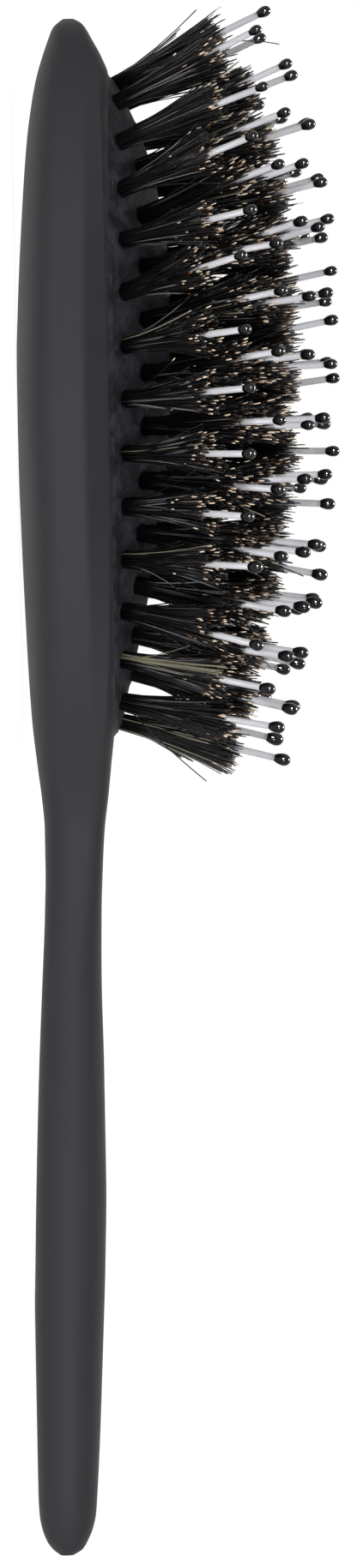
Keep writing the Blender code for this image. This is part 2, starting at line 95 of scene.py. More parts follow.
def smoothCurve(places, values):
    # Hermite pieces between the points, with harmonic-mean slopes so that nothing overshoots
    places, values = np.array(places), np.array(values)
    runs = np.diff(places)
    rises = np.diff(values) / runs
    slopes = np.concatenate([rises[:1], np.zeros(len(runs) - 1), rises[-1:]])
    same = rises[:-1] * rises[1:] > 0
    sums = np.where(same, rises[:-1] + rises[1:], 1)
    slopes[1:-1] = np.where(same, 2 * rises[:-1] * rises[1:] / sums, 0)

    def at(x):
        k = np.clip(np.searchsorted(places, x, side="right") - 1, 0, len(runs) - 1)
        u = (x - places[k]) / runs[k]
        ease = u * u * (3 - 2 * u)
        bends = slopes[k] * u * (1 - u) ** 2 - slopes[k + 1] * u * u * (1 - u)
        return values[k] * (1 - ease) + values[k + 1] * ease + bends * runs[k]

    return at


def unit(vectors):
    # each vector over its own length
    return vectors / np.linalg.norm(vectors, axis=-1, keepdims=True)


def gridQuads(rows, columns, closed=False):
    # corner numbers of the cells of a rows x columns grid, whose rows are loops if closed
    across = columns if closed else columns - 1
    i, j = np.meshgrid(np.arange(rows - 1), np.arange(across), indexing="ij")
    k = (j + 1) % columns
    cells = [i * columns + j, i * columns + k, (i + 1) * columns + k, (i + 1) * columns + j]
    return np.stack(cells, -1).reshape(-1, 4)


def fan(hub, loop):
    # corner numbers of the triangles from one point to each side of a loop
    return np.stack([np.full(len(loop), hub), loop, np.roll(loop, -1)], -1)


def cappedTube(loops, ends):
    # equal loops of points joined by quads, and a fan of triangles from each of two end points
    count, around = loops.shape[:2]
    points = np.concatenate([loops.reshape(-1, 3), ends])
    loop = np.arange(around)
    first = fan(count * around, loop)
    last = fan(count * around + 1, loop + (count - 1) * around)
    return points, gridQuads(count, around, closed=True), np.concatenate([first[:, ::-1], last])


def meshOf(name, points, *faceSets, uv=None):
    # a mesh from arrays, where each set of faces has one number of corners
    mesh = bpy.data.meshes.new(name)
    mesh.vertices.add(len(points))
    mesh.vertices.foreach_set("co", np.asarray(points, np.float32).ravel())
    corners = np.concatenate([np.asarray(faces).ravel() for faces in faceSets])
    totals = np.concatenate([np.full(len(faces), len(faces[0])) for faces in faceSets])
    mesh.loops.add(len(corners))
    mesh.loops.foreach_set("vertex_index", corners.astype(np.int32))
    mesh.polygons.add(len(totals))
    starts = np.concatenate([[0], np.cumsum(totals)[:-1]])
    mesh.polygons.foreach_set("loop_start", starts.astype(np.int32))
    mesh.polygons.foreach_set("loop_total", totals.astype(np.int32))
    mesh.update(calc_edges=True)
    mesh.validate()
    if uv is not None:
        layer = mesh.uv_layers.new(name="along")
        layer.data.foreach_set("uv", np.asarray(uv, np.float32)[corners].ravel())
    mesh.shade_smooth()
    return mesh


def outward(mesh):
    # the same closed mesh with all its faces turned to point out
    builder = bmesh.new()
    builder.from_mesh(mesh)
    bmesh.ops.recalc_face_normals(builder, faces=builder.faces[:])
    builder.to_mesh(mesh)
    builder.free()
    return mesh


def pieceOf(mesh, material, body=None, nodes=()):
    # an object for the mesh, which rides on a body and stands for the nodes given
    piece = bpy.data.objects.new(mesh.name, mesh)
    bpy.context.scene.collection.objects.link(piece)
    mesh.materials.clear()
    mesh.materials.append(material)
    if nodes:
        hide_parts(*nodes)
    if body:
        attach(piece, body)
    return piece


def nodesOf(group):
    # the CAD nodes whose names start alike
    return [node for node in frame["nodes"] if node.startswith(group)]


# Shader sums on wires: each operator adds its Math node


class Wire:
    def __init__(self, paint, socket):
        self.paint, self.socket = paint, socket

    def beside(self, output):
        # another output of the same node
        return Wire(self.paint, self.socket.node.outputs[output])

    def __add__(self, other):
        return self.paint.maths("ADD", self, other)

    def __sub__(self, other):
        return self.paint.maths("SUBTRACT", self, other)

    def __rsub__(self, other):
        return self.paint.maths("SUBTRACT", other, self)

    def __mul__(self, other):
        return self.paint.maths("MULTIPLY", self, other)

    __radd__, __rmul__ = __add__, __mul__


class Paint:
    # the nodes of a material or a world, and one way to add any other node to them
    def __init__(self, owner, shader, constants):
        owner.use_nodes = True
        self.owner = owner
        self.nodes, self.links = owner.node_tree.nodes, owner.node_tree.links
        self.shader = self.nodes[shader]
        self.feed(self.shader, constants)

    def feed(self, node, sockets):
        for key, value in sockets.items():
            if isinstance(value, Wire):
                self.links.new(value.socket, node.inputs[key])
            else:
                node.inputs[key].default_value = value

    def node(self, kind, settings, sockets, out=0):
        # settings go first, because some of them change the sockets
        made = self.nodes.new(kind)
        for key, value in settings.items():
            if key == "stops":
                for place, colour in value[len(made.color_ramp.elements):]:
                    made.color_ramp.elements.new(place)
                for stop, (place, colour) in zip(made.color_ramp.elements, value):
                    stop.position, stop.color = place, (*colour, 1)
            else:
                setattr(made, key, value)
        self.feed(made, sockets)
        return Wire(self, made.outputs[out])

    def maths(self, operation, *values):
        return self.node("ShaderNodeMath", {"operation": operation}, dict(enumerate(values)))

    def place(self, kind="Object"):
        return self.node("ShaderNodeTexCoord", {}, {}, kind)

    def noise(self, scale, detail=2.0, roughness=0.5):
        sockets = {"Scale": scale, "Detail": detail, "Roughness": roughness}
        sockets["Vector"] = self.place()
        return self.node("ShaderNodeTexNoise", {}, sockets)

    def between(self, value, low, high, outLow=0.0, outHigh=1.0):
        # value mapped from low..high to outLow..outHigh, and clamped
        sockets = dict(enumerate((value, low, high, outLow, outHigh)))
        return self.node("ShaderNodeMapRange", {"clamp": True}, sockets)

    def patches(self, low, high, **grain):
        # noise whose values from low to high are spread over 0 to 1
        return self.between(self.noise(**grain), low, high)

    def blend(self, share, one, two):
        # the Mix node's colours are its sockets 6 and 7 and its output 2
        sockets = {0: share, 6: one, 7: two}
        return self.node("ShaderNodeMix", {"data_type": "RGBA"}, sockets, 2)

    def bump(self, height, strength, distance):
        sockets = {"Height": height, "Strength": strength, "Distance": distance}
        return self.node("ShaderNodeBump", {}, sockets)


def principled(name, constants):
    # a new material, with what is the same all over it set on its shader
    return Paint(bpy.data.materials.new(name), "Principled BSDF", constants)


def rgb(red, green, blue):
    # a colour of 0 to 255 taken through the sRGB curve to the linear RGBA that a socket takes
    shares = [c / 255 for c in (red, green, blue)]
    return (*[c / 12.92 if c < 0.04045 else ((c + 0.055) / 1.055) ** 2.4 for c in shares], 1)


# Body: head, neck and handle in one moulding with a soft-touch coat

body = {
    "colour": rgb(57, 57, 60),
    "paleColour": rgb(61, 61, 64),
    "roughness": 0.5,
    "shine": 0.05,
    "sheen": 0.02,
    "sheenRoughness": 0.4,
    "clouds": {"scale": 38, "detail": 3, "low": 0.35, "high": 0.65},
    "cloudPales": 0.6,  # how much a cloud pales the coat, and how much it roughens it
    "cloudRoughens": 0.05,
    "rubs": {"scale": 420, "low": 0.3, "high": 0.7},  # small rubbed places
    "rubPales": 0.2,
    "rubRoughens": 0.04,
    "grainScale": 5200,
    "grainStrength": 0.5,
    "grainDepth": 0.00002,
    "stations": 420,
    "sectionPoints": 144,
    "endCrowding": 0.55,  # how far the stations crowd towards both ends
    # power of the back, power of the front, widest line, where the side bends in, how far in
    "headSection": (2.4, 6.0, 0.42, 0.706, 1.2),
    "handleSection": (2.3, 2.3, 0.50, 1.0, 0.0),
    "sharpAngle": 35,  # degrees
}
# the well that the cushion sits in
seat = {
    "points": 256,
    "gap": 0.0003,
    "depth": 0.0075,
    "lipRadius": 0.00035,
    "lipLoops": 7,
    "cutterTop": 0.03,
}
# distance from the tip in shares of the head's length, then back and front in its thickness
headProfile = [
    (0.0, 0.553, 0.676), (0.0045, 0.504, 0.742), (0.011, 0.449, 0.793), (0.027, 0.393, 0.866),
    (0.055, 0.311, 0.984), (0.075, 0.262, 1.038), (0.105, 0.210, 1.032), (0.16, 0.144, 1.032),
    (0.25, 0.080, 1.030), (0.36, 0.022, 1.028), (0.49, -0.018, 1.026), (0.66, 0.011, 1.022),
    (0.80, 0.047, 1.012), (0.897, 0.086, 0.985), (0.963, 0.141, 0.928),
]
handleProfile = [
    (0.0, 0.228, 1.150), (0.042, 0.259, 1.093), (0.092, 0.259, 1.057), (0.153, 0.239, 1.028),
    (0.25, 0.182, 1.012), (0.356, 0.120, 1.023), (0.50, 0.056, 1.023), (0.612, 0.018, 0.991),
    (0.727, -0.014, 0.935), (0.85, -0.014, 0.868), (0.925, 0.0, 0.815), (0.947, 0.011, 0.794),
    (0.965, 0.044, 0.750), (0.982, 0.110, 0.673), (0.993, 0.194, 0.600), (1.0, 0.287, 0.480),
]
# distance from the widest place to the head's end, then the handle's, with shares of half width
heelWidth = [
    (0.0, 1.0), (0.25, 0.968), (0.45, 0.888), (0.60, 0.785), (0.72, 0.672), (0.82, 0.546),
    (0.90, 0.435),
]
handleWidth = [
    (0.0, 1.0), (0.04, 0.83), (0.09, 0.73), (0.15, 0.70), (0.22, 0.73), (0.35, 0.85),
    (0.50, 0.955), (0.65, 1.0), (0.80, 0.97), (0.90, 0.88), (0.95, 0.76), (0.98, 0.58),
    (1.0, 0.30),
]


def bodyCurves():
    # smooth curves of back, front and half width over the distance from the tip
    head, handle = np.array(headProfile), np.array(handleProfile)
    heel, grip = np.array(heelWidth), np.array(handleWidth)
    headLength, handleLength = brush["headLength"], brush["handleLength"]
    heelLength = headLength - brush["widestPlace"]
    along = np.concatenate([head[:, 0] * headLength, headLength + handle[:, 0] * handleLength])
    thick = np.repeat([brush["headThickness"], brush["handleThickness"]], [len(head), len(handle)])
    shares = np.concatenate([head, handle])
    widthAlong = np.concatenate(
        [brush["widestPlace"] + heel[:, 0] * heelLength, headLength + grip[:, 0] * handleLength]
    )
    widths = np.concatenate(
        [heel[:, 1] * brush["headHalfWidth"], grip[:, 1] * brush["handleHalfWidth"]]
    )
    back = smoothCurve(along, shares[:, 1] * thick)
    front = smoothCurve(along, shares[:, 2] * thick)
    return back, front, smoothCurve(widthAlong, widths)


bodyBack, bodyFront, heelCurve = bodyCurves()


def bodyForm(s):
    # half width, back, front and the section's five numbers at the distance s from the tip. The
    # half width is w (1 - (1 - s / widest)^p)^(1/p) up to the widest place, and the curve after it
    widestPlace, power = brush["widestPlace"], brush["headPlanPower"]
    reach = np.clip((widestPlace - s) / widestPlace, 0, 1)
    oval = brush["headHalfWidth"] * (1 - reach**power) ** (1 / power)
    oval = np.maximum(oval, brush["tipEndHalfWidth"])
    half = np.where(s > widestPlace, heelCurve(s), oval)
    turn = np.clip((s - brush["blendStart"]) / brush["blendLength"], 0, 1)
    turn = turn * turn * (3 - 2 * turn)
    mixed = [a * (1 - turn) + b * turn for a, b in zip(body["headSection"], body["handleSection"])]
    mixed[4] = mixed[4] * (half / brush["headHalfWidth"]) ** 2
    return half, bodyBack(s), bodyFront(s), mixed


def makeBodyMesh():
    # P(s, a) = (tip - s, w cos^p a, widest + h sin^p a): a superellipse carried along the profile,
    # with |y| <= w - inward (z - bend) where its side bends in
    count, around, crowding = body["stations"], body["sectionPoints"], body["endCrowding"]
    u = np.linspace(0, 1, count)[:, None]
    shares = crowding * (0.5 - 0.5 * np.cos(np.pi * u)) + (1 - crowding) * u
    s = (brush["headLength"] + brush["handleLength"]) * shares
    a = (np.arange(around) + 0.5)[None, :] * 2 * np.pi / around
    half, back, front, (backPower, frontPower, widest, bend, inward) = bodyForm(s)
    middle = back + widest * (front - back)
    upper = np.sin(a) > 0
    power = 2 / np.where(upper, frontPower, backPower)
    height = np.where(upper, front - middle, middle - back)
    y = half * np.sign(np.cos(a)) * np.abs(np.cos(a)) ** power
    z = middle + height * np.sign(np.sin(a)) * np.abs(np.sin(a)) ** power
    bevel = half - inward * np.maximum(z - back - bend * (front - back), 0)
    y = np.sign(y) * np.minimum(np.abs(y), bevel)
    x = np.broadcast_to(brush["tipX"] - s, y.shape)
    loops = np.stack([x, y, np.maximum(z, 0)], -1)
    return outward(meshOf("bodyBlank", *cappedTube(loops, loops[[0, -1]].mean(1))))


def frontHeight(x, y):
    # height of the body's front face over a point: the section's upper half, solved for z
    outermost, leastInward = 0.999, 0.01  # keep the root and the division finite
    half, back, front, (_, frontPower, widest, bend, inward) = bodyForm(brush["tipX"] - x)
    middle = back + widest * (front - back)
    share = np.clip(np.abs(y) / half, 0, outermost)
    oval = middle + (front - middle) * (1 - share**frontPower) ** (1 / frontPower)
    bevel = back + bend * (front - back) + (half - np.abs(y)) / np.maximum(inward, leastInward)
    return np.minimum(oval, bevel)


def domeOval(widen, a):
    # (x + (halfLength + widen) cos a, (halfWidth + widen) sin a): the dome's outline, let out
    x = dome["x"] + (dome["halfLength"] + widen) * np.cos(a)
    return x, (dome["halfWidth"] + widen) * np.sin(a)


def makeSeatCutter():
    # an oval well with a rounded mouth: loops at the front face's height less r (1 - sin t), let
    # out by gap + r (1 - cos t), between a flat floor and a flat top
    a = np.linspace(0, 2 * np.pi, seat["points"], endpoint=False)
    loops = []
    for t in np.linspace(0, np.pi / 2, seat["lipLoops"]):
        x, y = domeOval(seat["gap"] + seat["lipRadius"] * (1 - np.cos(t)), a)
        z = frontHeight(x, y) - seat["lipRadius"] * (1 - np.sin(t))
        loops.append(np.stack([x, y, z], -1))
    bottom, top = loops[0].copy(), loops[-1].copy()
    bottom[:, 2] = brush["headThickness"] - seat["depth"]
    top[:, 2] = seat["cutterTop"]
    loops = np.array([bottom, *loops, top])
    return outward(meshOf("seatCutter", *cappedTube(loops, loops[[0, -1]].mean(1))))


def cutSeat(mesh):
    # the well is cut with one exact Boolean, whose result becomes the body's mesh
    holder = bpy.data.objects.new("holder", mesh)
    cutter = bpy.data.objects.new("cutter", makeSeatCutter())
    for helper in (holder, cutter):
        bpy.context.scene.collection.objects.link(helper)
    cut = holder.modifiers.new("seat", "BOOLEAN")
    cut.operation, cut.solver, cut.object = "DIFFERENCE", "EXACT", cutter
    graph = bpy.context.evaluated_depsgraph_get()
    made = bpy.data.meshes.new_from_object(holder.evaluated_get(graph))
    for helper in (holder, cutter):
        blank = helper.data
        bpy.data.objects.remove(helper)
        bpy.data.meshes.remove(blank)
    made.name = "handle_body_coated"
    made.shade_smooth()
    made.set_sharp_from_angle(angle=math.radians(body["sharpAngle"]))
    return made


def softTouch():
    # nearly matt black, with wide clouds and small rubbed places over a fine grain
    paint = principled(
        "softTouchCoat",
        {
            "Specular IOR Level": body["shine"],
            "Sheen Weight": body["sheen"],
            "Sheen Roughness": body["sheenRoughness"],
        },
    )
    cloud, rub = paint.patches(**body["clouds"]), paint.patches(**body["rubs"])
    pale = cloud * body["cloudPales"] + rub * body["rubPales"]
    rough = body["roughness"] + cloud * body["cloudRoughens"] + rub * body["rubRoughens"]
    grain = paint.noise(body["grainScale"])
    sockets = {
        "Base Color": paint.blend(pale, body["colour"], body["paleColour"]),
        "Roughness": rough,
        "Normal": paint.bump(grain, body["grainStrength"], body["grainDepth"]),
    }
    paint.feed(paint.shader, sockets)
    return paint.owner


bodyPiece = pieceOf(cutSeat(makeBodyMesh()), softTouch(), "handle", ["handle_body"])
print("body:", len(bodyPiece.data.polygons), "faces")


# Rings of tufts: ovals from the centre row out to the edge, as the solids have them

rings = {
    # each ring's body, from the middle outwards
    "bodies": {
        "centre": "centre_row",
        "inner": "inner_ring",
        "middle": "middle_ring",
        "outer": "outer_ring",
        "edge": "edge_ring",
    },
    "centreRow": 0.043,
    "sideInset": 0.0032,  # outermost ring from the cushion's edge
    "endInset": 0.0023,
    "pitch": 0.0077,
    "square": 4.0,  # how squarish the ovals get towards the middle
    "fanAcross": 1.5,  # lean of a tuft, in shares of the dome's slope
    "fanAlong": 1.15,
    "uprightShift": 0.009,  # where no tuft leans lengthwise, from the middle to the handle
    "uneven": 0.045,  # how much a tuft and its pin lean out of line
    "seed": 8,
    "halfPin": 0.0005,
    "quarterSteps": 400,  # points on a quarter of an oval, to measure its length
}


def domeHeight(x, y):
    # rim + rise (1 - u^2 - (y/b)^2) (1 + tilt u + swell max(u, 0)^2), where u = x/a, and x and y
    # are measured from the dome's middle
    u = x / dome["halfLength"]
    level = u**2 + (y / dome["halfWidth"]) ** 2
    fuller = 1 + dome["tilt"] * u + dome["swell"] * np.maximum(u, 0) ** 2
    return dome["rim"] + dome["rise"] * (1 - level) * fuller


def ovalPoint(level, a):
    # a superellipse whose power falls from squarish at the middle to 2 at the edge ring
    edgeLength = dome["halfLength"] - rings["endInset"]
    half = rings["centreRow"] / 2
    length = half + (edgeLength - half) * level
    width = (dome["halfWidth"] - rings["sideInset"]) * level
    power = 2 / (2 + rings["square"] * (1 - level) ** 2)
    x, y = np.cos(a), np.sin(a)
    return length * np.sign(x) * np.abs(x) ** power, width * np.sign(y) * np.abs(y) ** power


def rowSpots():
    # even steps along the middle line: each spot's x and y, and the direction of the row there
    half = rings["centreRow"] / 2
    x = np.linspace(-half, half, round(rings["centreRow"] / rings["pitch"]) + 1)
    zeros = np.zeros(len(x))
    return x, zeros, zeros + 1, zeros


def ovalSpots(level):
    # even steps round the oval by its own length: the edge ring's start at the very tip, and the
    # others' half a step on. Two points half a pin either side give the spot and the direction
    steps = rings["quarterSteps"]
    a = np.arange(-steps, 4 * steps + 1) * np.pi / 2 / steps
    x, y = ovalPoint(level, a)
    lengths = np.concatenate([[0], np.cumsum(np.hypot(np.diff(x), np.diff(y)))])
    lengths -= lengths[steps]
    quarter = lengths[2 * steps]
    count = max(2, round(quarter / rings["pitch"]))
    first = 0 if level == 1 else 0.5
    arcs = (np.arange(4 * count) + first) * quarter / count
    nearX, nearY = ovalPoint(level, np.interp(arcs - rings["halfPin"], lengths, a))
    farX, farY = ovalPoint(level, np.interp(arcs + rings["halfPin"], lengths, a))
    return (nearX + farX) / 2, (nearY + farY) / 2, farX - nearX, farY - nearY


def tuftsOf(number):
    # roots on the dome, and axes along (fan slopeX, fan slopeY, 1) with a little chance lean
    level = number / (len(rings["bodies"]) - 1)
    x, y, alongX, alongY = ovalSpots(level) if level else rowSpots()
    slopeX = 2 * dome["rise"] * (x + rings["uprightShift"]) / dome["halfLength"] ** 2
    slopeY = 2 * dome["rise"] * y / dome["halfWidth"] ** 2
    lean = np.stack([rings["fanAlong"] * slopeX, rings["fanAcross"] * slopeY, np.ones(len(x))], -1)
    random = np.random.default_rng(rings["seed"] + number)
    axis = unit(lean + random.normal(0, rings["uneven"], lean.shape) * (1, 1, 0))
    along = unit(np.stack([alongX, alongY, np.zeros(len(x))], -1))
    across = unit(np.cross(axis, along))
    root = np.stack([x + dome["x"], y, domeHeight(x, y)], -1)
    return {"root": root, "axis": axis, "across": across, "along": np.cross(across, axis)}


tufts = {name: tuftsOf(number) for number, name in enumerate(rings["bodies"])}


# Cushion: a domed rubber skin, blown up from under, with its rim tucked into the body

cushion = {
    "colour": rgb(24, 24, 28),
    # the specks' colour: partly dust, partly painted glints
    "dustAndGlintColour": rgb(84, 83, 92),
    "roughness": 0.6,
    "shine": 0.2,
    "clouds": {"scale": 330, "detail": 5, "roughness": 0.65, "low": 0.42, "high": 0.64},
    "cloudPales": 0.36,
    # pale, smoother specks: partly dust and partly painted glints
    "dustAndGlints": {"scale": 2600, "detail": 3, "roughness": 0.7, "low": 0.6, "high": 0.72},
    "dustAndGlintPales": 0.5,
    "dustAndGlintSmooths": 0.25,
    "grain": {"scale": 1500, "detail": 5, "roughness": 0.75},
    "grainStrength": 0.7,
    "grainDepth": 0.00012,
    "skin": 0.0019,
    "columns": 300,
    "rows": 150,
    "collarRadius": 0.00175,  # rubber swells a little round each tuft
    "collarWidth": 0.00035,
    "collarHeight": 0.00022,
    "collarLimit": 0.985,  # no collar past this share of the way to the rim
    "rimRadius": 0.0006,
    "rimLoops": 5,
    "rimStart": 0.15,  # share of the rim's quarter turn where its first loop lies
    "rimSink": 0.0001,
    "skirtDepth": 0.0022,
    "skirtWall": 0.0017,
    "flangeReach": 0.0012,
    "flangeThickness": 0.0012,
    "stillHeight": -0.13,  # in shares of the rise: a height that is worked out but moves nothing
    "pressedHeight": 0.92,  # another such height in shares of the rise, which moves nothing either
}


def discGrid(columns, rows):
    # a square grid bent to the unit disc: (u sqrt(1 - v^2/2), v sqrt(1 - u^2/2))
    u, v = np.meshgrid(np.linspace(-1, 1, columns), np.linspace(-1, 1, rows), indexing="ij")
    return u * np.sqrt(1 - v * v / 2), v * np.sqrt(1 - u * u / 2)


def collars(x, y):
    # height exp(-((d - radius) / width)^2), where d is the distance to the nearest tuft's root
    roots = np.concatenate([tuft["root"] for tuft in tufts.values()])
    away = np.hypot(x[..., None] - roots[:, 0], y[..., None] - roots[:, 1]).min(-1)
    offset = (away - cushion["collarRadius"]) / cushion["collarWidth"]
    return cushion["collarHeight"] * np.exp(-(offset**2))


def cushionSkirt():
    # (way out, height) of each loop: the rim rolls over a quarter turn, (r sin t - r, r cos t - r),
    # goes down inside the body and turns out as a flange
    radius, reach = cushion["rimRadius"], cushion["flangeReach"]
    turns = np.linspace(cushion["rimStart"], 1, cushion["rimLoops"]) * np.pi / 2
    top = dome["rim"] - cushion["rimSink"]
    under = dome["rim"] - cushion["skirtDepth"]
    foot = under - cushion["flangeThickness"]
    roll = [(radius * np.sin(t) - radius, top + radius * np.cos(t) - radius) for t in turns]
    return [*roll, (0, under), (reach, under), (reach, foot), (-cushion["skirtWall"], foot)]


def makeCushionMesh():
    # top z(x, y) = dome + collars, a skirt of loops round its border, and the same grid below
    columns, rows = cushion["columns"], cushion["rows"]
    inset, skin = cushion["rimRadius"], cushion["skin"]
    gridX, gridY = discGrid(columns, rows)
    x, y = gridX * (dome["halfLength"] - inset), gridY * (dome["halfWidth"] - inset)
    inside = np.hypot(gridX, gridY) < cushion["collarLimit"]
    z = domeHeight(x, y) + collars(x + dome["x"], y) * inside
    top = np.stack([x + dome["x"], y, z], -1).reshape(-1, 3)
    x, y = gridX * (dome["halfLength"] - skin), gridY * (dome["halfWidth"] - skin)
    bottom = np.stack([x + dome["x"], y, domeHeight(x, y) - skin], -1).reshape(-1, 3)
    index = np.arange(columns * rows).reshape(columns, rows)
    border = np.concatenate([index[:-1, 0], index[-1, :-1], index[:0:-1, -1], index[0, :0:-1]])
    around = len(border)
    a = np.arctan2(gridY.ravel()[border], gridX.ravel()[border])
    skirt = [
        np.stack([*domeOval(widen, a), np.full(around, height)], -1)
        for widen, height in cushionSkirt()
    ]
    bottomStart = len(top) + len(skirt) * around
    loops = [len(top) + k * around + np.arange(around) for k in range(len(skirt))]
    loops = [border, *loops, border + bottomStart]
    bands = [
        np.stack([one, two, np.roll(two, -1), np.roll(one, -1)], -1)
        for one, two in zip(loops, loops[1:])
    ]
    topQuads = gridQuads(columns, rows)
    quads = np.concatenate([topQuads, *bands, topQuads[:, ::-1] + bottomStart])
    return outward(meshOf("cushion_skin", np.concatenate([top, *skirt, bottom]), quads))


def rubber():
    # dark rubber, with paler clouds and pale specks over a coarse grain: the specks are partly dust
    # and partly painted glints
    paint = principled("cushionRubber", {"Specular IOR Level": cushion["shine"]})
    cloud, dustAndGlints = paint.patches(**cushion["clouds"]), paint.patches(**cushion["dustAndGlints"])
    pale = cloud * cushion["cloudPales"] + dustAndGlints * cushion["dustAndGlintPales"]
    grain = paint.noise(**cushion["grain"])
    sockets = {
        "Base Color": paint.blend(pale, cushion["colour"], cushion["dustAndGlintColour"]),
        "Roughness": cushion["roughness"] - dustAndGlints * cushion["dustAndGlintSmooths"],
        "Normal": paint.bump(grain, cushion["grainStrength"], cushion["grainDepth"]),
    }
    paint.feed(paint.shader, sockets)
    return paint.owner


cushionPiece = pieceOf(makeCushionMesh(), rubber(), None, ["cushion_pad"])
dome["rim"] + cushion["stillHeight"] * dome["rise"]
dome["rim"] + cushion["pressedHeight"] * dome["rise"]
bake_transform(cushionPiece)
print("cushion:", len(cushionPiece.data.polygons), "faces")


# Bristle: bundles of boar hair that spread towards their brown and cream ends

bristle = {
    "seed": 11,
    "perTuft": 170,
    "length": 0.0183,
    "edgeLength": 0.0172,
    "lengthSpread": 0.045,
    "shortShare": 0.2,
    "shortLength": (0.62, 0.95),  # of a short hair, in shares of a whole one
    "rootRadius": 0.00118,
    "embed": 0.0012,
    "radius": 0.000112,
    "radiusSpread": (0.8, 1.2),
    # place along a hair and its thickness there: it swells before its worn end
    "taper": [(0, 1), (0.25, 1), (0.5, 0.98), (0.75, 0.95), (0.97, 1.12), (1.0, 0.75)],
    "splay": 1.35,  # how much a tuft widens by its end, in shares of its root
    "splaySpread": (0.7, 1.3),
    "splayPower": 1.6,
    "drift": 0.00075,  # how far a hair's end lies out of place by chance
    "driftLimit": 1.5,
    "driftPower": 1.5,
    "strayShare": 0.03,  # some hairs drift farther
    "strayDrift": 3.2,
    "lean": 0.015,  # of a whole tuft's hair away from its pin
    "colour": rgb(24, 22, 22),
    # painted sheen: the grey of a streak painted along some hairs
    "paintedSheenColour": rgb(128, 127, 131),
    "brownColour": rgb(128, 85, 54),
    "tipColour": rgb(255, 234, 209),
    "paleColour": rgb(168, 163, 140),
    "folds": {"start": 23, "lit": 37, "paintedSheen": 53},  # unlike, so that the chances are unlike too
    "brownPlace": 0.45,  # on the way from dark to cream
    "tipStart": 0.925,  # along a hair, and by how much that differs and how fast it turns
    "tipSpread": 0.035,
    "tipFade": 0.025,
    "litKinds": (0.70, 0.80),  # a hair past these has a cream end
    "paintedSheenKinds": (0.78, 0.88),  # and past these a painted grey sheen along its middle
    "paintedSheenFrom": (0.15, 0.4),
    "paintedSheenTo": (0.9, 0.8),
    "paleTuft": (0.0191, 0.012),  # one edge tuft near the handle has a streak of pale hair
    "paleSide": (4.15, 0.3),  # the middle and half width of the streak, as angles round the tuft
    "paleKinds": (0.985, 0.99),
    "paleKind": 0.995,
    "paleShare": 0.7,
    "roughness": 0.32,
    "shine": 0.35,
}
# single hairs that stand away: their tuft's x and y, then x and z where they bend and end
strays = {
    "points": 9,
    "kind": 0.3,
    "hairs": {
        "middle": [
            ((0.0251, 0.010), (0.0232, 0.0326), (0.0172, 0.0370)),
            ((0.0360, 0.012), (0.0335, 0.0367), (0.0307, 0.0421)),
        ],
        "edge": [
            ((0.0124, 0.008), (0.0064, 0.0201), (0.0005, 0.0271)),
            ((0.0995, 0.010), (0.1131, 0.0285), (0.1099, 0.0400)),
        ],
    },
}


def nearest(tuft, spot):
    # the number of the ring's tuft whose root is nearest to the spot
    return np.argmin(np.hypot(*(tuft["root"][:, :2] - spot).T))


def hairMesh(name, t, paths, across, along, thick, turn, kind):
    # Q(t, a) = P(t) + thick (across cos a + along sin a) at three angles a from the hair's own
    # turn. The UV is the place t along a hair and the hair's own random number, its kind
    a = turn[:, None] + np.arange(3) * 2 * np.pi / 3
    wall = across[:, None] * np.cos(a)[..., None] + along[:, None] * np.sin(a)[..., None]
    points = paths[:, :, None] + wall[:, None] * thick[..., None, None]
    size = 3 * len(t)
    starts = (np.arange(len(paths)) * size)[:, None, None]
    quads = (starts + gridQuads(len(t), 3, closed=True)).reshape(-1, 4)
    caps = (starts + np.array([[2, 1, 0], [size - 3, size - 2, size - 1]])).reshape(-1, 3)
    uv = np.stack(np.broadcast_arrays(t[:, None], kind[:, None, None] + np.zeros(3)), -1)
    return meshOf(name, points.reshape(-1, 3), quads, caps, uv=uv.reshape(-1, 2))


